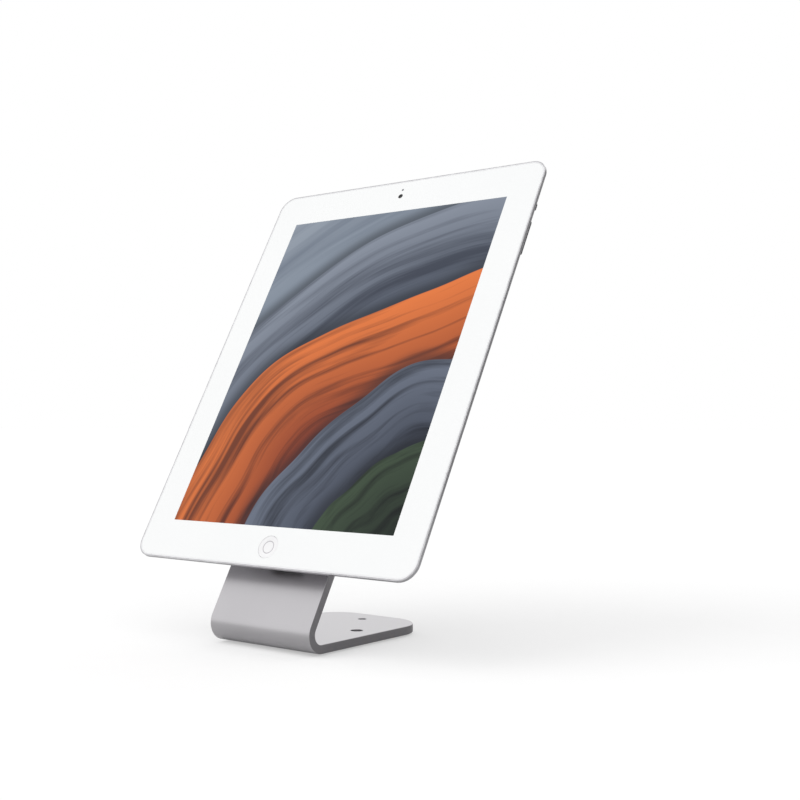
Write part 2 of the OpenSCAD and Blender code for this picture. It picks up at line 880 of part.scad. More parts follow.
module front_glass() {
    color("white")
        at_tablet()
            difference() {
                slab(glass_w, glass_h, glass_corner_r, 0, glass_t);
                post(0, home_v, home_hole_d / 2, -cut_over, glass_t + cut_over);
            }
}

module display_panel() {
    color("steelblue")
        at_tablet()
            block([-panel_w / 2, panel_w / 2], [-panel_h / 2, panel_h / 2], [glass_t, tray_depth]);
}

module backlight_tray() {
    color("darkgray")
        at_tablet()
            difference() {
                union() {
                    slab(tray_w, tray_h, tray_corner_r, tray_depth, tray_rear);
                    for (y = [-1, 1])
                        block(
                            [-ear_reach, ear_reach],
                            [y * ear_pitch / 2 - ear_w / 2, y * ear_pitch / 2 + ear_w / 2],
                            [ledge_depth - ear_t, ledge_depth]
                        );
                }
                for (x = [-1, 1], y = [-1, 1])
                    post(x * ear_screw_u, y * ear_pitch / 2, small_hole_d / 2, tray_depth,
                        ledge_depth + cut_over);
            }
}

// Small pan-head screw whose head sits on a face at a depth behind the front
module small_screw(u, v, depth, shank_l) {
    difference() {
        union() {
            post(u, v, small_head_d / 2, depth - small_head_h, depth);
            post(u, v, small_screw_d / 2, depth - small_head_h, depth + shank_l);
        }
        post(u, v, small_screw_d * socket_ratio / 2, depth - small_head_h - cut_over,
            depth - small_head_h / 2, $fn = 6);
    }
}

module tray_screws() {
    color("gray")
        at_tablet()
            for (x = [-1, 1], y = [-1, 1])
                small_screw(x * ear_screw_u, y * ear_pitch / 2, ledge_depth - ear_t,
                    ear_t + small_shank_l / 2);
}

// One flat battery cell, counted from the left
module battery_cell(index) {
    u0 = cells_u0 + index * (cell_w + inner_gap);
    translate([u0 + cell_w / 2, (cell_v0 + cell_v1) / 2, 0])
        slab(cell_w, cell_v1 - cell_v0, cell_corner_r, battery_depth, floor_depth);
}

module battery_cell_left() {
    color("black")
        at_tablet()
            battery_cell(0);
}

module battery_cell_right() {
    color("black")
        at_tablet()
            battery_cell(1);
}

module logic_board() {
    color("darkgreen")
        at_tablet()
            difference() {
                union() {
                    block([board_u0, board_u1], [board_v0, board_v1], [board_depth, board_depth + board_t]);
                    for (i = [-1 : 1])
                        block(
                            [board_mid_u - chip_w / 2, board_mid_u + chip_w / 2],
                            [
                                board_mid_v + i * chip_pitch - chip_l / 2,
                                board_mid_v + i * chip_pitch + chip_l / 2
                            ],
                            [board_depth - chip_t, board_depth]
                        );
                }
                for (u = boss_us, v = boss_vs)
                    post(u, v, small_hole_d / 2, board_depth - cut_over, board_depth + board_t + cut_over);
            }
}

module board_shield() {
    color("silver")
        at_tablet()
            difference() {
                block(
                    [board_mid_u - shield_w / 2, board_mid_u + shield_w / 2],
                    [board_mid_v - shield_l / 2, board_mid_v + shield_l / 2],
                    [shield_depth, board_depth]
                );
                block(
                    [board_mid_u - shield_w / 2 + shield_wall, board_mid_u + shield_w / 2 - shield_wall],
                    [board_mid_v - shield_l / 2 + shield_wall, board_mid_v + shield_l / 2 - shield_wall],
                    [shield_depth + shield_wall, board_depth + cut_over]
                );
            }
}

module board_screws() {
    color("gray")
        at_tablet()
            for (u = boss_us, v = boss_vs)
                small_screw(u, v, board_depth, board_t + small_shank_l / 2);
}

module front_camera() {
    color("black")
        at_tablet() {
            block(
                [-front_cam_w / 2, front_cam_w / 2],
                [camera_v - front_cam_w / 2, camera_v + front_cam_w / 2],
                [tray_depth, ledge_depth]
            );
            post(0, camera_v, lens_d / 2, glass_t, tray_depth);
        }
}

module light_sensor() {
    color("black")
        at_tablet()
            block(
                [-sensor_w / 2, sensor_w / 2],
                [sensor_v - sensor_h / 2, sensor_v + sensor_h / 2],
                [glass_t, ledge_depth]
            );
}

module rear_camera() {
    color("black")
        at_tablet()
            block(
                [rear_cam_u - rear_cam_w / 2, rear_cam_u + rear_cam_w / 2],
                [rear_cam_v - rear_cam_w / 2, rear_cam_v + rear_cam_w / 2],
                [battery_depth, floor_depth]
            );
}

module rear_lens() {
    color("black")
        at_tablet()
            post(rear_cam_u, rear_cam_v, rear_lens_d / 2, floor_depth, tab_t);
}

module home_button() {
    color("whitesmoke")
        at_tablet()
            difference() {
                union() {
                    post(0, home_v, home_d / 2, home_recess, home_stem_depth);
                    block(
                        [-home_stem_w / 2, home_stem_w / 2],
                        [home_v - home_stem_l / 2, home_v + home_stem_l / 2],
                        [home_stem_depth, home_stem_depth + home_stem_t]
                    );
                }
                difference() {
                    post(0, home_v, home_d / 4 + home_ring_w, home_recess - cut_over,
                        home_recess + home_ring_depth);
                    post(0, home_v, home_d / 4, home_recess - 2 * cut_over,
                        home_recess + home_ring_depth + cut_over);
                }
            }
}

module home_switch() {
    color("gray")
        at_tablet()
            block(
                [-home_stem_w / 2, home_stem_w / 2],
                [home_v - home_stem_l / 2, home_v + home_stem_l / 2],
                [home_stem_depth + home_stem_t + home_travel + seat_gap, dock_top]
            );
}

// Control on the right edge: the bar that shows and the flange that keeps it in
module side_control(v, l) {
    side_bar([flange_out_u, control_out_u], v, control_depth, l, control_t);
    block(
        [flange_in_u, flange_out_u],
        [v - l / 2 - flange_over, v + l / 2 + flange_over],
        [control_depth - control_t / 2, control_depth + control_t / 2]
    );
}

// Switch board on the ledge behind a control on the right edge
module side_board(v, l) {
    block(
        [flange_in_u - board_gap - board_in_t, flange_in_u - board_gap],
        [v - l / 2, v + l / 2],
        [control_depth - control_t / 2, ledge_depth]
    );
}

module volume_rocker() {
    color("darkgray")
        at_tablet()
            side_control(rocker_v, rocker_l);
}

module volume_switch_board() {
    color("darkgreen")
        at_tablet() {
            side_board(rocker_v, rocker_l);
            for (y = [-1, 1])
                translate([flange_in_u - board_gap, rocker_v + y * rocker_l / 4, tab_t - control_depth])
                    rotate([0, 90, 0])
                        cylinder(h = dome_h, d = dome_d);
        }
}

module side_switch() {
    color("darkgray")
        at_tablet()
            side_control(switch_v, switch_l);
}

module side_switch_board() {
    color("darkgreen")
        at_tablet()
            side_board(switch_v - switch_travel / 2, switch_l + switch_travel);
}

module sleep_button() {
    flange_v1 = upper_h / 2 - seat_gap;
    color("darkgray")
        at_tablet() {
            top_bar(sleep_u, [flange_v1, control_out_v], control_depth, sleep_l, control_t);
            block(
                [sleep_u - sleep_l / 2 - flange_over, sleep_u + sleep_l / 2 + flange_over],
                [flange_v1 - flange_t, flange_v1],
                [control_depth - control_t / 2, control_depth + control_t / 2]
            );
        }
}

module sleep_switch_board() {
    top_v = upper_h / 2 - seat_gap - flange_t - sleep_travel - play / 2;
    color("darkgreen")
        at_tablet()
            block(
                [sleep_u - sleep_l / 2, sleep_u + sleep_l / 2],
                [top_v - board_in_t, top_v],
                [control_depth - control_t / 2, ledge_depth]
            );
}

module headphone_socket() {
    color("dimgray")
        at_tablet()
            translate([jack_u, jack_out_v, tab_t - jack_depth])
                rotate([90, 0, 0])
                    difference() {
                        cylinder(h = jack_out_v - jack_in_v, d = jack_d);
                        translate([0, 0, -cut_over])
                            cylinder(h = jack_bore_l + cut_over, d = jack_bore_d);
                    }
}

module dock_socket() {
    color("dimgray")
        at_tablet() {
            difference() {
                block([-dock_case_w / 2, dock_case_w / 2], [dock_out_v, dock_in_v], [dock_top, dock_bottom]);
                block(
                    [-dock_w / 2, dock_w / 2],
                    [dock_out_v - cut_over, dock_in_v - dock_wall],
                    [dock_depth - dock_h / 2, dock_depth + dock_h / 2]
                );
            }
            block(
                [dock_wall - dock_w / 2, dock_w / 2 - dock_wall],
                [dock_out_v, dock_in_v - dock_wall / 2],
                [dock_depth - dock_tongue_t / 2, dock_depth + dock_tongue_t / 2]
            );
        }
}

module speaker_box() {
    color("black")
        at_tablet()
            block(
                [grille_u - speaker_l / 2, grille_u + speaker_l / 2],
                [grille_v - speaker_w / 2, grille_v + speaker_w / 2],
                [battery_depth, floor_depth]
            );
}

module speaker_grille() {
    color("dimgray")
        at_tablet()
            translate([grille_u, grille_v, case_wall - grille_t])
                linear_extrude(grille_t)
                    difference() {
                        pill(grille_l, grille_w);
                        for (column = [-grille_columns : grille_columns], row = [-1, 1])
                            translate([column * grille_pitch, row * grille_pitch / 2])
                                circle(d = grille_hole_d);
                    }
}

stand_plate();
base_pad();
pivot_bush();
friction_washer_front();
friction_washer_rear();
rear_cap();
cap_screws();
head_plate();
bonding_tape();
pivot_spindle();
hub_screws();
spring_washer();
lock_nut();
stop_pin();
rear_case();
case_gasket();
front_glass();
display_panel();
backlight_tray();
tray_screws();
battery_cell_left();
battery_cell_right();
logic_board();
board_shield();
board_screws();
front_camera();
light_sensor();
rear_camera();
rear_lens();
home_button();
home_switch();
volume_rocker();
volume_switch_board();
side_switch();
side_switch_board();
sleep_button();
sleep_switch_board();
headphone_socket();
dock_socket();
speaker_box();
speaker_grille();
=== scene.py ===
"""Looks of a tablet kiosk stand: finishes, glass front, lit screen, floor, light and camera.

Metres throughout. Pieces of the tablet are made in its own frame, which stands on the turning joint:
x right, y up the screen, z out of the glass, with z = 0 on the glass.
"""
import json
import math

import bmesh
import bpy
from mathutils import Matrix, Vector


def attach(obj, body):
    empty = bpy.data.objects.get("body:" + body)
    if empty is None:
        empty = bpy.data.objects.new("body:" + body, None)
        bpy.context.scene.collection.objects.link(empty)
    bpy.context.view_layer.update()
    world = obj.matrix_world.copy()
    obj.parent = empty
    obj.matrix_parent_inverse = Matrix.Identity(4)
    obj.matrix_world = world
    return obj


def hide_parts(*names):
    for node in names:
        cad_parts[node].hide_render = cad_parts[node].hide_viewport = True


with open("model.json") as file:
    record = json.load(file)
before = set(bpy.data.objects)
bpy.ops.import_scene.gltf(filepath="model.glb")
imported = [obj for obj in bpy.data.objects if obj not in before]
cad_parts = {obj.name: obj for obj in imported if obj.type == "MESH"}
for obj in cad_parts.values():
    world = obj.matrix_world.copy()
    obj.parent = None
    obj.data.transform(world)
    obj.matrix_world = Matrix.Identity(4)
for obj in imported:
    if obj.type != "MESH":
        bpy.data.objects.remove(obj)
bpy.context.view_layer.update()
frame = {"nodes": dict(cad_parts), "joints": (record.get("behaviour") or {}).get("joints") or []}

scene = bpy.context.scene
mm = 0.001

# Sizes that the CAD nodes share with the pieces made here
tablet_h = 241.2 * mm
glass_w = 183.3 * mm
glass_h = 238.8 * mm
glass_t = 1.0 * mm
glass_corner_r = 8.3 * mm
screen_w = 147.8 * mm
screen_h = 197.1 * mm
border_mid = (tablet_h + screen_h) / 4
home_d = 12.0 * mm
home_gap = 0.1 * mm
home_recess = 0.1 * mm
ring_mid_r = 3.25 * mm
ring_w = 0.5 * mm
ring_depth = 0.12 * mm
lens_d = 2.9 * mm
sensor_d = 1.3 * mm
sensor_up = 4.5 * mm

# Fine sizes that only show in the looks
glass_edge_r = 0.12 * mm
pane_edge_r = 0.05 * mm
pane_gap = 0.02 * mm
window_back = -0.9 * mm
edge_break = 0.4 * mm
weld_gap = 1e-6

# Range that most of a noise texture's values fall in
noise_range = (0.25, 0.75)

# Turning joint and tablet frame
turning_joint = next(j for j in frame["joints"] if j["name"] == "head_rotation")
pivot = Vector(turning_joint["pos_m"])
out_of_screen = -Vector(turning_joint["axis"]).normalized()
to_right = Vector((1, 0, 0))
up_screen = out_of_screen.cross(to_right)
glass_points = frame["nodes"]["front_glass"].data.vertices
front_reach = max((v.co - pivot).dot(out_of_screen) for v in glass_points)
tablet_axes = Matrix((to_right, up_screen, out_of_screen)).transposed().to_4x4()
tablet_frame = Matrix.Translation(pivot + out_of_screen * front_reach) @ tablet_axes


def linear(red, green, blue):
    """Colour for a shader from the 0 to 255 values that a screen shows."""
    def channel(c):
        c /= 255
        return c / 12.92 if c <= 0.04045 else ((c + 0.055) / 1.055) ** 2.4

    return (channel(red), channel(green), channel(blue), 1.0)


# Shader building


def place(tree, kind, **settings):
    """New node of a kind, with its settings and its inputs, which are named by their labels."""
    node = tree.nodes.new(kind)
    inputs = settings.pop("inputs", {})
    for name, value in settings.items():
        setattr(node, name, value)
    for label, value in inputs.items():
        feed(tree, node.inputs[label], value)
    return node


def feed(tree, socket, value):
    """Links a socket to an input, or sets a plain value on it."""
    if isinstance(value, bpy.types.NodeSocket):
        tree.links.new(value, socket)
    else:
        socket.default_value = value


def calc(tree, operation, a, b=0.0, clamp=False):
    """Result of a sum on two sockets or numbers."""
    return place(
        tree, "ShaderNodeMath", operation=operation, use_clamp=clamp, inputs={0: a, 1: b}
    ).outputs[0]


def spread(tree, value, low, high, from_low=0.0, from_high=1.0, smooth=False):
    """Value moved from one range to another, and kept in it."""
    return place(
        tree, "ShaderNodeMapRange", interpolation_type="SMOOTHSTEP" if smooth else "LINEAR",
        inputs={"Value": value, "From Min": from_low, "From Max": from_high, "To Min": low, "To Max": high},
    ).outputs["Result"]


def blend_colours(tree, share, a, b):
    """Colour a turned into colour b by a share."""
    node = place(tree, "ShaderNodeMix", data_type="RGBA")
    for socket, value in ((node.inputs[0], share), (node.inputs[6], a), (node.inputs[7], b)):
        feed(tree, socket, value)
    return node.outputs[2]


def effect_group(name, inputs, outputs):
    """Empty shader group with named sockets, and its input and output nodes."""
    tree = bpy.data.node_groups.new(name, "ShaderNodeTree")
    for label, value in inputs.items():
        socket = tree.interface.new_socket(label, in_out="INPUT", socket_type="NodeSocketFloat")
        socket.default_value = value
    for label in outputs:
        tree.interface.new_socket(label, in_out="OUTPUT", socket_type="NodeSocketFloat")
    return tree, tree.nodes.new("NodeGroupInput"), tree.nodes.new("NodeGroupOutput")


def make_surface_grain():
    """Fine grain of a blasted or moulded skin, and the broad cloudiness that handling leaves on it."""
    tree, given, result = effect_group(
        "surface_grain", {"Fine Scale": 3000.0, "Broad Scale": 25.0}, ("Fine", "Broad")
    )
    where = place(tree, "ShaderNodeTexCoord").outputs["Object"]
    for label, detail, roughness in (("Fine", 3.0, 0.65), ("Broad", 4.0, 0.55)):
        scale = given.outputs[label + " Scale"]
        noise = place(tree, "ShaderNodeTexNoise", inputs={
            "Vector": where, "Scale": scale, "Detail": detail, "Roughness": roughness,
        })
        tree.links.new(spread(tree, noise.outputs["Fac"], 0, 1, *noise_range), result.inputs[label])
    return tree


def make_edge_rub_and_highlight():
    """Mask along the edges, where hands and cloths rub a finish down, and where the case's rim gets a
    painted highlight.
    """
    tree, given, result = effect_group("edge_rub_and_highlight", {"Width": 0.0005, "Breakup Scale": 300.0}, ("Mask",))
    rounded = place(tree, "ShaderNodeBevel", samples=6, inputs={"Radius": given.outputs["Width"]})
    flat = place(tree, "ShaderNodeNewGeometry").outputs["Normal"]
    likeness = place(
        tree, "ShaderNodeVectorMath", operation="DOT_PRODUCT", inputs={0: rounded.outputs[0], 1: flat}
    )
    at_edge, on_face = 0.75, 0.99
    edge = spread(tree, likeness.outputs["Value"], 1.0, 0.0, at_edge, on_face)
    where = place(tree, "ShaderNodeTexCoord").outputs["Object"]
    patches = place(tree, "ShaderNodeTexNoise", inputs={
        "Vector": where, "Scale": given.outputs["Breakup Scale"], "Detail": 3.0,
    })
    breakup = spread(tree, patches.outputs["Fac"], 0.3, 1.0, 0.35, 0.65)
    tree.links.new(calc(tree, "MULTIPLY", edge, breakup, clamp=True), result.inputs["Mask"])
    return tree


def make_finger_marks():
    """Faint smears of a polished surface that is touched."""
    tree, given, result = effect_group("finger_marks", {"Scale": 40.0}, ("Smear",))
    where = place(tree, "ShaderNodeTexCoord").outputs["Object"]
    stretched = place(tree, "ShaderNodeMapping", inputs={
        "Vector": where, "Rotation": (0, 0, 0.5), "Scale": (1, 0.35, 1),
    })
    smears = place(tree, "ShaderNodeTexNoise", inputs={
        "Vector": stretched.outputs[0], "Scale": given.outputs["Scale"], "Detail": 5.0, "Distortion": 0.6,
    })
    tree.links.new(spread(tree, smears.outputs["Fac"], 0, 1, 0.45, 0.75), result.inputs["Smear"])
    return tree


surface_grain = make_surface_grain()
edge_rub_and_highlight = make_edge_rub_and_highlight()
finger_marks = make_finger_marks()


def use_group(tree, group, **inputs):
    """Shared effect placed in a material, with the material's own values."""
    node = tree.nodes.new("ShaderNodeGroup")
    node.node_tree = group
    for label, value in inputs.items():
        node.inputs[label.replace("_", " ")].default_value = value
    return node


def start_material(name, **plain):
    """Material with one Principled shader, whose plain values are set on its own sockets."""
    material = bpy.data.materials.new(name)
    material.use_nodes = True
    tree = material.node_tree
    tree.nodes.clear()
    shader = place(tree, "ShaderNodeBsdfPrincipled")
    for label, value in plain.items():
        shader.inputs[label.replace("_", " ")].default_value = value
    output = place(tree, "ShaderNodeOutputMaterial")
    tree.links.new(shader.outputs["BSDF"], output.inputs["Surface"])
    return material, tree, shader


def raise_grain(tree, shader, height, strength, distance):
    """Bumps a surface by a height."""
    bump = place(
        tree, "ShaderNodeBump", inputs={"Height": height, "Strength": strength, "Distance": distance}
    )
    tree.links.new(bump.outputs["Normal"], shader.inputs["Normal"])


def finish(
    name, colour, rough, fine_scale=3000.0, broad_scale=25.0, bump=0.15, depth=0.00003,
    mottle=0.06, rough_spread=0.08, rub_and_highlight_colour=None, rub_and_highlight_share=0.5, rub_and_highlight_width=0.0004, **plain
):
    """Grained finish: cloudy colour, uneven roughness, fine bump, and lighter edges for rubbed wear and, on
    the case, a painted highlight.
    """
    material, tree, shader = start_material(name, **plain)
    grain = use_group(tree, surface_grain, Fine_Scale=fine_scale, Broad_Scale=broad_scale)
    darker = tuple(c * (1 - mottle) for c in colour[:3]) + (1.0,)
    lighter = tuple(min(1.0, c * (1 + mottle)) for c in colour[:3]) + (1.0,)
    skin = blend_colours(tree, grain.outputs["Broad"], darker, lighter)
    # Lighter edges: rubbed wear, and on the case a painted highlight.
    if rub_and_highlight_colour:
        rub_and_highlight = use_group(tree, edge_rub_and_highlight, Width=rub_and_highlight_width)
        skin = blend_colours(tree, calc(tree, "MULTIPLY", rub_and_highlight.outputs["Mask"], rub_and_highlight_share), skin, rub_and_highlight_colour)
    tree.links.new(skin, shader.inputs["Base Color"])
    half_fine = calc(tree, "MULTIPLY", grain.outputs["Fine"], 0.5)
    half_broad = calc(tree, "MULTIPLY", grain.outputs["Broad"], 0.5)
    uneven = calc(tree, "ADD", half_fine, half_broad)
    tree.links.new(
        spread(tree, uneven, rough - rough_spread, rough + rough_spread), shader.inputs["Roughness"]
    )
    raise_grain(tree, shader, grain.outputs["Fine"], bump, depth)
    return material


def satin_plate_finish():
    """Satin anodised sheet: fine blasted faces, and sawn edges along its two sides that are rougher and
    painted darker, as painted shade for the dark reflection they show.
    """
    material, tree, shader = start_material("satin_anodised_sheet", Metallic=1.0)
    grain = use_group(tree, surface_grain, Fine_Scale=5000.0, Broad_Scale=18.0)
    face = blend_colours(tree, grain.outputs["Broad"], linear(195, 193, 196), linear(203, 201, 204))
    normal = place(tree, "ShaderNodeTexCoord").outputs["Normal"]
    axes = place(tree, "ShaderNodeSeparateXYZ", inputs={0: normal})
    sideways = calc(tree, "ABSOLUTE", axes.outputs["X"])
    sawn_and_shaded_sides = spread(tree, sideways, 0, 1, 0.6, 0.95, smooth=True)
    # The sawn sides' darker colour is painted shade, for the dark reflection that faces turned along x show;
    # their rougher finish is real.
    shaded_cut_edge = blend_colours(tree, grain.outputs["Fine"], linear(142, 140, 143), linear(156, 154, 157))
    skin = blend_colours(tree, sawn_and_shaded_sides, face, shaded_cut_edge)
    rub_and_highlight = use_group(tree, edge_rub_and_highlight, Width=0.0005)
    rubbed = calc(tree, "MULTIPLY", rub_and_highlight.outputs["Mask"], 0.3)
    skin = blend_colours(tree, rubbed, skin, linear(224, 223, 225))
    tree.links.new(skin, shader.inputs["Base Color"])
    satin = spread(tree, grain.outputs["Broad"], 0.29, 0.35)
    rougher_cut = calc(tree, "MULTIPLY", sawn_and_shaded_sides, 0.2)
    tree.links.new(calc(tree, "ADD", satin, rougher_cut), shader.inputs["Roughness"])
    raise_grain(tree, shader, grain.outputs["Fine"], 0.08, 0.00002)
    return material


def white_glass_finish():
    """White mask seen through polished glass, with faint finger marks."""
    material, tree, shader = start_material("white_masked_glass", Specular_IOR_Level=0.4)
    grain = use_group(tree, surface_grain, Fine_Scale=900.0, Broad_Scale=12.0)
    white = blend_colours(tree, grain.outputs["Broad"], (0.9, 0.91, 0.912, 1), (0.925, 0.93, 0.93, 1))
    tree.links.new(white, shader.inputs["Base Color"])
    marks = use_group(tree, finger_marks, Scale=30.0)
    tree.links.new(spread(tree, marks.outputs["Smear"], 0.06, 0.16), shader.inputs["Roughness"])
    return material


def silk_fold(tree, round_fan, from_hub, fold):
    """Mask of one silk fold in the screen's picture, the shadow at its edge, and its streaked colour."""
    swell = place(tree, "ShaderNodeTexNoise", noise_dimensions="1D", inputs={
        "W": calc(tree, "ADD", round_fan, fold["seed"]), "Scale": fold["waves"], "Detail": 1.0,
    })
    swing = calc(tree, "MULTIPLY", calc(tree, "SUBTRACT", swell.outputs["Fac"], 0.5), fold["swing"])
    depth = calc(tree, "SUBTRACT", calc(tree, "ADD", swing, fold["reach"]), from_hub)
    along = place(tree, "ShaderNodeCombineXYZ", inputs={
        "X": calc(tree, "MULTIPLY", round_fan, fold["streak_length"]),
        "Y": calc(tree, "MULTIPLY", depth, fold["streak_count"]), "Z": fold["seed"],
    })
    streaks = place(tree, "ShaderNodeTexNoise", inputs={
        "Vector": along.outputs[0], "Scale": 1.0, "Detail": 5.0, "Roughness": 0.55, "Distortion": 0.25,
    })
    body = blend_colours(tree, spread(tree, depth, 0, 1, 0.0, fold["fall"]), fold["crest"], fold["foot"])
    streaked = spread(tree, streaks.outputs["Fac"], 0, 0.8, 0.46, 0.66)
    body = blend_colours(tree, streaked, body, fold["shade"])
    edge_softness, shadow_reach, shadow_share = 0.005, 0.07, 0.6
    cover = spread(tree, depth, 0, 1, 0.0, edge_softness, smooth=True)
    shadow = spread(tree, depth, 0, shadow_share, -shadow_reach, 0.0, smooth=True)
    return cover, shadow, body


def fanned_silk_picture():
    """Lit screen with a made-up picture: folds of silk that fan out around its lower right corner."""
    material, tree, shader = start_material(
        "lit_screen", Base_Color=(0.004, 0.004, 0.005, 1), Specular_IOR_Level=0.12, Emission_Strength=1.0,
    )
    where = place(tree, "ShaderNodeTexCoord").outputs["Object"]
    hub = (0.66 * screen_w, -0.62 * screen_h, 0)
    out = place(tree, "ShaderNodeVectorMath", operation="SUBTRACT", inputs={0: where, 1: hub})
    axes = place(tree, "ShaderNodeSeparateXYZ", inputs={0: out.outputs["Vector"]})
    length = place(tree, "ShaderNodeVectorMath", operation="LENGTH", inputs={0: out.outputs["Vector"]})
    from_hub = calc(tree, "DIVIDE", length.outputs["Value"], screen_w)
    leftward = calc(tree, "MULTIPLY", axes.outputs["X"], -1.0)
    round_fan = calc(tree, "ARCTAN2", axes.outputs["Y"], leftward)
    folds = (
        dict(reach=2.6, swing=0.0, waves=1.0, seed=40.4, fall=1.3, streak_length=0.8, streak_count=9.0,
             crest=linear(176, 184, 194), foot=linear(112, 124, 140), shade=linear(96, 106, 122)),
        dict(reach=1.52, swing=0.2, waves=1.3, seed=2.3, fall=0.42, streak_length=0.9, streak_count=16.0,
             crest=linear(134, 142, 156), foot=linear(62, 70, 86), shade=linear(48, 54, 68)),
        dict(reach=1.22, swing=0.18, waves=1.4, seed=9.1, fall=0.5, streak_length=1.0, streak_count=19.0,
             crest=linear(228, 122, 62), foot=linear(120, 46, 32), shade=linear(62, 28, 26)),
        dict(reach=0.82, swing=0.16, waves=1.5, seed=15.2, fall=0.4, streak_length=1.0, streak_count=18.0,
             crest=linear(106, 114, 130), foot=linear(44, 50, 64), shade=linear(28, 32, 42)),
        dict(reach=0.52, swing=0.14, waves=1.6, seed=28.6, fall=0.34, streak_length=1.1, streak_count=20.0,
             crest=linear(62, 78, 60), foot=linear(22, 29, 27), shade=linear(12, 16, 17)),
    )
    dark_ground = linear(26, 30, 36)
    picture = dark_ground
    for fold in folds:
        cover, shadow, body = silk_fold(tree, round_fan, from_hub, fold)
        picture = blend_colours(tree, shadow, picture, dark_ground)
        picture = blend_colours(tree, cover, picture, body)
    tree.links.new(picture, shader.inputs["Emission Color"])
    marks = use_group(tree, finger_marks, Scale=24.0)
    tree.links.new(spread(tree, marks.outputs["Smear"], 0.06, 0.18), shader.inputs["Roughness"])
    return material


def home_cap_finish():
    """White button with a fine grey ring printed in its dish."""
    material, tree, shader = start_material("home_white", Specular_IOR_Level=0.4)
    grain = use_group(tree, surface_grain, Fine_Scale=2500.0, Broad_Scale=60.0)
    white = blend_colours(tree, grain.outputs["Broad"], (0.87, 0.865, 0.875, 1), (0.9, 0.895, 0.905, 1))
    where = place(tree, "ShaderNodeTexCoord").outputs["Object"]
    flat = place(tree, "ShaderNodeVectorMath", operation="MULTIPLY", inputs={0: where, 1: (1, 1, 0)})
    radius = place(tree, "ShaderNodeVectorMath", operation="LENGTH", inputs={0: flat.outputs["Vector"]})
    off_ring = calc(tree, "ABSOLUTE", calc(tree, "SUBTRACT", radius.outputs["Value"], ring_mid_r))
    print_mask = spread(tree, off_ring, 0.75, 0.0, ring_w * 0.35, ring_w * 0.55, smooth=True)
    printed = blend_colours(tree, print_mask, white, linear(176, 172, 178))
    tree.links.new(printed, shader.inputs["Base Color"])
    tree.links.new(spread(tree, grain.outputs["Fine"], 0.1, 0.2), shader.inputs["Roughness"])
    return material


# Mesh building


def outline_rect(w, h, corner_r=0.0, steps=10):
    """Corner points of a rectangle, rounded if it has a corner radius."""
    if not corner_r:
        return [(-w / 2, -h / 2), (w / 2, -h / 2), (w / 2, h / 2), (-w / 2, h / 2)]
    points = []
    for start, (sx, sy) in zip((0, 90, 180, 270), ((1, 1), (-1, 1), (-1, -1), (1, -1))):
        for i in range(steps + 1):
            a = math.radians(start + 90 * i / steps)
            points.append((
                sx * (w / 2 - corner_r) + corner_r * math.cos(a),
                sy * (h / 2 - corner_r) + corner_r * math.sin(a),
            ))
    return points


def outline_circle(x, y, r, steps=64):
    """Corner points of a circle."""
    turns = (2 * math.pi * i / steps for i in range(steps))
    return [(x + r * math.cos(a), y + r * math.sin(a)) for a in turns]


def add_piece(name, mesh, body, material, place_at=tablet_frame):
    """New piece at its place, which rides a body and has a finish."""
    piece = bpy.data.objects.new(name, mesh)
    scene.collection.objects.link(piece)
    piece.matrix_world = place_at
    mesh.materials.clear()
    mesh.materials.append(material)
    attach(piece, body)
    return piece


def flat_mesh(name, outer, holes, back, front, edge_r):
    """Sheet between two heights, with holes, rounded edges and faces that shade flat up to these."""
    curve = bpy.data.curves.new(name, "CURVE")
    curve.dimensions = "2D"
    curve.fill_mode = "BOTH"
    curve.extrude = (front - back) / 2 - edge_r
    curve.bevel_depth = edge_r
    curve.bevel_resolution = 2
    curve.offset = -edge_r
    for points in [outer] + [list(reversed(hole)) for hole in holes]:
        spline = curve.splines.new("POLY")
        spline.points.add(len(points) - 1)
        spline.use_cyclic_u = True
        for point, (x, y) in zip(spline.points, points):
            point.co = (x, y, 0, 1)
    maker = bpy.data.objects.new(name, curve)
    scene.collection.objects.link(maker)
    mesh = bpy.data.meshes.new_from_object(maker.evaluated_get(bpy.context.evaluated_depsgraph_get()))
    bpy.data.objects.remove(maker)
    bpy.data.curves.remove(curve)
    mesh.transform(Matrix.Translation((0, 0, (back + front) / 2)))
    edit = bmesh.new()
    edit.from_mesh(mesh)
    bmesh.ops.remove_doubles(edit, verts=edit.verts, dist=weld_gap)
    bmesh.ops.recalc_face_normals(edit, faces=edit.faces)
    crease = math.radians(40)
    for seam in edit.edges:
        level = {abs(face.normal.z) > 0.999 for face in seam.link_faces}
        seam.smooth = len(level) == 1 and seam.calc_face_angle(0.0) < crease
    edit.to_mesh(mesh)
    edit.free()
    mesh.shade_smooth()
    return mesh


def turned_mesh(name, profile, steps=96):
    """Round piece from the half section that it is turned to, as (radius, height) points from its axis."""
    edit = bmesh.new()
    points = [edit.verts.new((r, 0, z)) for r, z in profile]
    edges = [edit.edges.new(pair) for pair in zip(points, points[1:])]
    bmesh.ops.spin(
        edit, geom=points + edges, axis=(0, 0, 1), cent=(0, 0, 0), angle=2 * math.pi, steps=steps,
        use_duplicate=False,
    )
    bmesh.ops.remove_doubles(edit, verts=edit.verts, dist=weld_gap)
    bmesh.ops.recalc_face_normals(edit, faces=edit.faces)
    mesh = bpy.data.meshes.new(name)
    edit.to_mesh(mesh)
    edit.free()
    mesh.shade_smooth()
    mesh.set_sharp_from_angle(angle=math.radians(35))
    return mesh


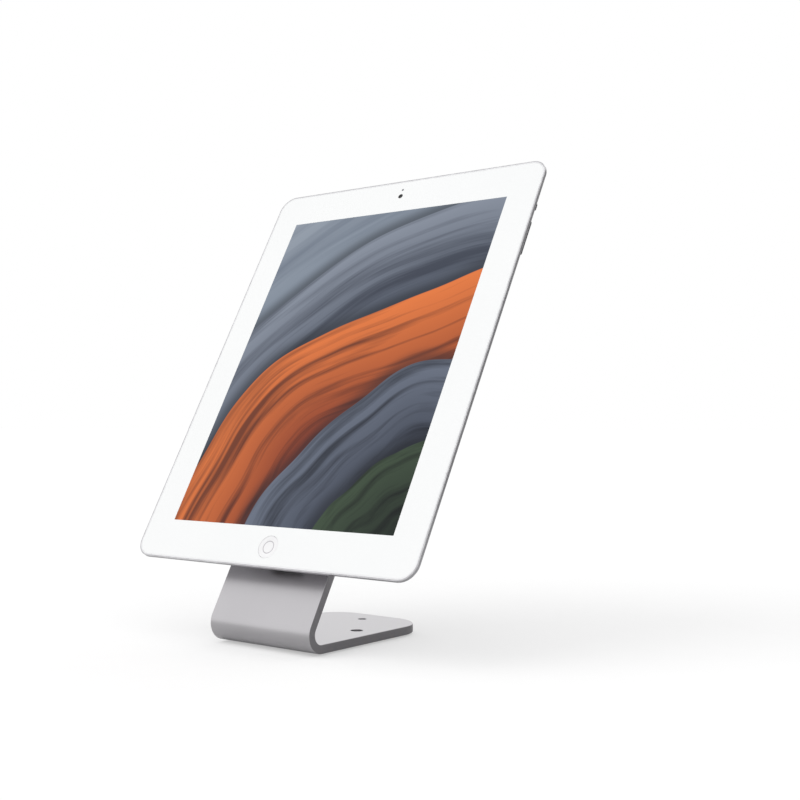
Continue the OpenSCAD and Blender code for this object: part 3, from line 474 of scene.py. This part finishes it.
def make_soft_normals():
    """Modifier group that shades a CAD mesh smooth and keeps its real edges sharp."""
    tree = bpy.data.node_groups.new("soft_normals", "GeometryNodeTree")
    for way in ("INPUT", "OUTPUT"):
        tree.interface.new_socket("Geometry", in_out=way, socket_type="NodeSocketGeometry")
    given = tree.nodes.new("NodeGroupInput")
    result = tree.nodes.new("NodeGroupOutput")
    joined = place(
        tree, "GeometryNodeMergeByDistance", inputs={"Geometry": given.outputs[0], "Distance": weld_gap}
    )
    plain = place(
        tree, "GeometryNodeRemoveAttribute", inputs={"Geometry": joined.outputs[0], "Name": "custom_normal"}
    )
    smooth = place(tree, "GeometryNodeSetShadeSmooth", inputs={"Geometry": plain.outputs[0]})
    angle = place(tree, "GeometryNodeInputMeshEdgeAngle")
    crease = math.radians(32)
    sharp = place(
        tree, "ShaderNodeMath", operation="GREATER_THAN", inputs={0: angle.outputs[0], 1: crease}
    )
    kept = place(tree, "GeometryNodeSetShadeSmooth", domain="EDGE", inputs={
        "Geometry": smooth.outputs[0], "Selection": sharp.outputs[0], "Shade Smooth": False,
    })
    tree.links.new(kept.outputs[0], result.inputs[0])
    return tree


soft_normals = make_soft_normals()


def break_edges(node, width):
    """Small rounded chamfer on a CAD node's sharp edges, as a deburred piece has."""
    joined = node.modifiers.new("joined", "WELD")
    joined.merge_threshold = weld_gap
    faces = node.modifiers.new("whole_faces", "DECIMATE")
    faces.decimate_type = "DISSOLVE"
    faces.angle_limit = math.radians(0.4)
    chamfer = node.modifiers.new("broken_edges", "BEVEL")
    chamfer.width = width
    chamfer.segments = 3
    chamfer.limit_method = "ANGLE"
    chamfer.angle_limit = math.radians(40)
    chamfer.use_clamp_overlap = False
    chamfer.loop_slide = False


def dress(node_names, material, chamfer=0.0):
    """Gives CAD nodes a finish, soft shading and, where it shows, broken edges beside flat faces."""
    for name in node_names:
        node = frame["nodes"][name]
        for slot in node.material_slots:
            slot.material = material
        if chamfer:
            break_edges(node, chamfer)
        node.modifiers.new("soft_normals", "NODES").node_group = soft_normals
        if chamfer:
            flat_faces = node.modifiers.new("flat_faces", "WEIGHTED_NORMAL")
            flat_faces.weight = 100
            flat_faces.keep_sharp = True


# Finishes of the CAD nodes
dress(["stand_plate"], satin_plate_finish(), chamfer=edge_break)
dress(
    ["rear_cap"],
    finish("satin_anodised_cap", linear(190, 188, 191), 0.34, fine_scale=5000, bump=0.12, depth=0.00002,
           mottle=0.04, rough_spread=0.04, rub_and_highlight_colour=linear(226, 225, 227), rub_and_highlight_share=0.35, Metallic=1.0),
)
# The case's near-white edges are a painted highlight, for the bright reflection along its rim.
dress(
    ["rear_case"],
    finish("blasted_case", linear(188, 187, 190), 0.34, fine_scale=6000, bump=0.1, depth=0.00002,
           mottle=0.03, rough_spread=0.04, rub_and_highlight_colour=linear(248, 248, 249), rub_and_highlight_share=0.95, rub_and_highlight_width=0.001,
           Metallic=1.0),
)
dress(
    ["base_pad"],
    finish("pad_rubber", linear(42, 42, 43), 0.82, fine_scale=1400, bump=0.5, depth=0.0001, mottle=0.15,
           rub_and_highlight_colour=linear(70, 70, 70)),
)
dress(
    ["case_gasket"],
    finish("gasket_plastic", linear(240, 240, 242), 0.5, fine_scale=2500, bump=0.1, mottle=0.03),
)
dress(
    ["volume_rocker", "side_switch", "sleep_button"],
    finish("control_plastic", linear(58, 58, 60), 0.42, fine_scale=4000, bump=0.15, mottle=0.08,
           rub_and_highlight_colour=linear(96, 96, 98)),
)
dress(
    ["pivot_bush", "friction_washer_front", "friction_washer_rear"],
    finish("bearing_plastic", linear(228, 224, 212), 0.45, fine_scale=1800, bump=0.1, mottle=0.04),
)
dress(
    ["pivot_spindle", "spring_washer", "lock_nut", "stop_pin", "hub_screws", "cap_screws"],
    finish("turned_steel", linear(170, 169, 170), 0.3, fine_scale=2600, bump=0.12, mottle=0.08,
           rub_and_highlight_colour=linear(215, 215, 215), Metallic=1.0),
)
dress(
    ["head_plate"],
    finish("head_paint", linear(150, 150, 152), 0.48, fine_scale=1500, bump=0.25, mottle=0.04,
           rub_and_highlight_colour=linear(205, 205, 206)),
    chamfer=edge_break,
)
dress(
    ["bonding_tape"],
    finish("tape_foam", linear(86, 86, 88), 0.9, fine_scale=1100, bump=0.6, depth=0.00015, mottle=0.14),
)
dress(
    ["backlight_tray"],
    finish("tray_plastic", linear(176, 176, 178), 0.55, fine_scale=1800, bump=0.15, mottle=0.05),
)
dress(
    ["battery_cell_left", "battery_cell_right"],
    finish("battery_pouch", linear(40, 40, 42), 0.5, fine_scale=700, bump=0.35, depth=0.0001, mottle=0.12),
)
dress(
    ["logic_board", "volume_switch_board", "side_switch_board", "sleep_switch_board"],
    finish("board_laminate", linear(24, 74, 44), 0.42, fine_scale=1600, bump=0.15, mottle=0.18),
)
dress(
    ["board_shield"],
    finish("tinned_shield", linear(188, 188, 186), 0.28, fine_scale=1900, bump=0.1, mottle=0.06,
           Metallic=1.0),
)
dress(
    ["tray_screws", "board_screws"],
    finish("zinc_screws", linear(150, 150, 152), 0.35, fine_scale=3000, bump=0.1, mottle=0.1, Metallic=1.0),
)
lens_black = finish(
    "lens_black", linear(14, 14, 17), 0.1, fine_scale=2500, bump=0.03, mottle=0.2, rough_spread=0.05
)
dress(["front_camera", "light_sensor", "rear_camera", "rear_lens"], lens_black)
dress(
    ["headphone_socket", "dock_socket", "speaker_box", "home_switch"],
    finish("socket_plastic", linear(66, 66, 68), 0.5, fine_scale=2600, bump=0.12, mottle=0.12),
)
dress(
    ["speaker_grille"],
    finish("grille_mesh", linear(44, 44, 46), 0.5, fine_scale=4200, bump=0.2, mottle=0.12,
           rub_and_highlight_colour=linear(90, 90, 92)),
)
dress(["display_panel"], finish("panel_black", linear(18, 18, 20), 0.3, mottle=0.1))


# Glass front of the tablet


def build_glass_border(material):
    """White border of the front glass, open at the screen, the home button, the camera and the sensor."""
    holes = [
        outline_rect(screen_w, screen_h),
        outline_circle(0, border_mid, lens_d / 2 + pane_gap),
        outline_circle(0, border_mid + sensor_up, sensor_d / 2 + pane_gap),
        outline_circle(0, -border_mid, home_d / 2 + home_gap),
    ]
    outer = outline_rect(glass_w, glass_h, glass_corner_r)
    mesh = flat_mesh("glass_border", outer, holes, -glass_t, 0.0, glass_edge_r)
    border = add_piece("glass_border", mesh, "head", material)
    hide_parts("front_glass")


def build_screen_pane(material):
    """Lit pane in the border's large opening."""
    outer = outline_rect(screen_w - 2 * pane_gap, screen_h - 2 * pane_gap)
    mesh = flat_mesh("screen_pane", outer, [], -glass_t + pane_gap, -0.01 * mm, pane_edge_r)
    add_piece("screen_pane", mesh, "head", material)


def build_camera_window(material):
    """Small black window with the lens's dished pupil in it."""
    r = lens_d / 2
    profile = [
        (0, -0.32 * mm), (0.35 * r, -0.28 * mm), (0.5 * r, -0.16 * mm), (0.55 * r, -0.06 * mm),
        (0.9 * r, -0.04 * mm), (r, -0.08 * mm), (r, window_back), (0, window_back),
    ]
    mesh = turned_mesh("camera_window", profile, steps=48)
    at = tablet_frame @ Matrix.Translation((0, border_mid, 0))
    add_piece("camera_window", mesh, "head", material, at)


def build_sensor_window(material):
    """Small grey window above the camera."""
    outer = outline_circle(0, 0, sensor_d / 2, steps=32)
    mesh = flat_mesh("sensor_window", outer, [], window_back, -0.05 * mm, pane_edge_r)
    at = tablet_frame @ Matrix.Translation((0, border_mid + sensor_up, 0))
    add_piece("sensor_window", mesh, "head", material, at)


def build_home_cap(material):
    """Dished button cap with a fine ring sunk in its dish."""
    r = home_d / 2
    top = -home_recess
    dish_r = 0.86 * r
    dish_depth = 0.34 * mm
    dish_lip = 0.02 * mm
    ring_slope = 0.06 * mm
    ring_in = ring_mid_r - ring_w / 2
    ring_out = ring_mid_r + ring_w / 2

    def dish_point(radius, sunk=0.0):
        return radius, top - dish_lip - dish_depth * (1 - (radius / dish_r) ** 2) - sunk

    dish = [dish_point(ring_in * i / 8) for i in range(9)]
    dish += [dish_point(ring_in + ring_slope, ring_depth), dish_point(ring_out - ring_slope, ring_depth)]
    dish += [dish_point(ring_out + (dish_r - ring_out) * i / 6) for i in range(7)]
    rim = [
        (r * 0.88, top - 0.06 * mm), (r * 0.9, top - 0.05 * mm), (r * 0.92, top), (r * 0.97, top),
        (r * 0.995, top - 0.04 * mm), (r, top - 0.1 * mm), (r, -glass_t), (0, -glass_t),
    ]
    mesh = turned_mesh("home_cap", dish + rim)
    at = tablet_frame @ Matrix.Translation((0, -border_mid, 0))
    cap = add_piece("home_cap", mesh, "home_button", material, at)
    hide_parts("home_button")


sensor_grey = finish(
    "sensor_grey", linear(112, 114, 118), 0.12, fine_scale=2500, bump=0.03, mottle=0.15, rough_spread=0.05
)
build_glass_border(white_glass_finish())
build_screen_pane(fanned_silk_picture())
build_camera_window(lens_black)
build_sensor_window(sensor_grey)
build_home_cap(home_cap_finish())


# Floor, light and camera


def add_stage(name, corners, material):
    """Flat sheet of the studio, which isn't part of the object."""
    mesh = bpy.data.meshes.new(name)
    mesh.from_pydata(corners, [], [(0, 1, 2, 3)])
    mesh.materials.append(material)
    stage = bpy.data.objects.new(name, mesh)
    scene.collection.objects.link(stage)
    return stage


def matt_stage_finish(name, dark, light, lift, metal_lift):
    """Matt paper of the studio, which shows lighter to the camera and, by less, in metal and glass."""
    material = bpy.data.materials.new(name)
    material.use_nodes = True
    tree = material.node_tree
    tree.nodes.clear()
    where = place(tree, "ShaderNodeTexCoord").outputs["Object"]
    speckle = place(tree, "ShaderNodeTexNoise", inputs={"Vector": where, "Scale": 60.0, "Detail": 3.0})
    tone = blend_colours(tree, speckle.outputs["Fac"], (dark, dark, dark, 1), (light, light, light, 1))
    matt = place(tree, "ShaderNodeBsdfDiffuse", inputs={"Color": tone})
    path = place(tree, "ShaderNodeLightPath")
    mirrored = calc(tree, "MAXIMUM", path.outputs["Is Glossy Ray"], path.outputs["Is Transmission Ray"])
    lifted = calc(
        tree, "MAXIMUM", calc(tree, "MULTIPLY", path.outputs["Is Camera Ray"], lift),
        calc(tree, "MULTIPLY", mirrored, metal_lift),
    )
    glow = place(tree, "ShaderNodeEmission", inputs={"Color": (1, 1, 1, 1), "Strength": lifted})
    both = place(tree, "ShaderNodeAddShader", inputs={0: matt.outputs[0], 1: glow.outputs[0]})
    output = place(tree, "ShaderNodeOutputMaterial")
    tree.links.new(both.outputs[0], output.inputs["Surface"])
    return material


def build_floor():
    """Pale floor that shows white to the camera where no shadow falls."""
    reach = 12.0
    add_stage(
        "floor", [(-reach, -reach, 0), (reach, -reach, 0), (reach, reach, 0), (-reach, reach, 0)],
        matt_stage_finish("pale_floor", dark=0.545, light=0.555, lift=0.43, metal_lift=0.05),
    )


def add_card(name, corners, material):
    """Card out of the picture that only metal and glass mirror."""
    card = add_stage(name, corners, material)
    card.visible_camera = False
    card.visible_diffuse = False
    card.visible_shadow = False
    card.visible_transmission = False


def build_cards():
    """Grey card at the right, for a darker edge there, and a white one on the floor behind the stand."""
    low, high = 0.002, 0.5
    near, far = (0.42, 0.0), (0.16, 0.52)
    add_card(
        "grey_card", [(*near, low), (*far, low), (*far, high), (*near, high)],
        matt_stage_finish("card_grey", dark=0.38, light=0.42, lift=0.0, metal_lift=0.0),
    )
    left, right, front, rear = -0.5, 0.2, 0.08, 0.8
    add_card(
        "white_card", [(left, front, low), (right, front, low), (right, rear, low), (left, rear, low)],
        matt_stage_finish("card_white", dark=0.86, light=0.88, lift=0.0, metal_lift=0.36),
    )


def build_white_room(ambient):
    """Even light from all around, seen as white by the camera and in metal and glass."""
    world = bpy.data.worlds.new("white_room")
    scene.world = world
    world.use_nodes = True
    tree = world.node_tree
    tree.nodes.clear()
    path = place(tree, "ShaderNodeLightPath")
    seen = calc(tree, "MAXIMUM", path.outputs["Is Camera Ray"], path.outputs["Is Glossy Ray"])
    seen = calc(tree, "MAXIMUM", seen, path.outputs["Is Transmission Ray"])
    light = place(tree, "ShaderNodeBackground", inputs={
        "Color": (1, 1, 1, 1), "Strength": spread(tree, seen, ambient, 1.0),
    })
    output = place(tree, "ShaderNodeOutputWorld")
    tree.links.new(light.outputs[0], output.inputs["Surface"])


def add_soft_sun(name, comes_from, strength, softness):
    """Even key light with soft shadows, left out of mirrors so that metal shows no hard glare."""
    lamp = bpy.data.lights.new(name, "SUN")
    lamp.energy = strength
    lamp.angle = math.radians(softness)
    sun = bpy.data.objects.new(name, lamp)
    scene.collection.objects.link(sun)
    sun.rotation_euler = (-Vector(comes_from)).to_track_quat("-Z", "Y").to_euler()
    sun.visible_glossy = False


def place_camera(at, turn, rise, focal_px, shift_px, image_px):
    """Camera at a place, turned about the vertical and tilted up, with its lens shifted."""
    lens = bpy.data.cameras.new("camera")
    lens.sensor_width = 36.0
    lens.lens = focal_px * lens.sensor_width / image_px
    lens.shift_x, lens.shift_y = (shift / image_px for shift in shift_px)
    lens.clip_start = 0.01
    camera = bpy.data.objects.new("camera", lens)
    scene.collection.objects.link(camera)
    camera.location = at
    ahead = Vector((
        -math.sin(turn) * math.cos(rise), math.cos(turn) * math.cos(rise), math.sin(rise)
    ))
    camera.rotation_euler = ahead.to_track_quat("-Z", "Y").to_euler()
    scene.camera = camera


build_floor()
build_cards()
build_white_room(ambient=0.93)
add_soft_sun("key_sun", comes_from=(-0.45, -0.6, 0.66), strength=0.75, softness=40.0)
place_camera(
    at=(0.41557, -0.48564, 0.11333), turn=math.radians(39.235), rise=math.radians(0.255),
    focal_px=1222.6, shift_px=(50.0, 15.0), image_px=800,
)
scene.view_settings.view_transform = "Standard"
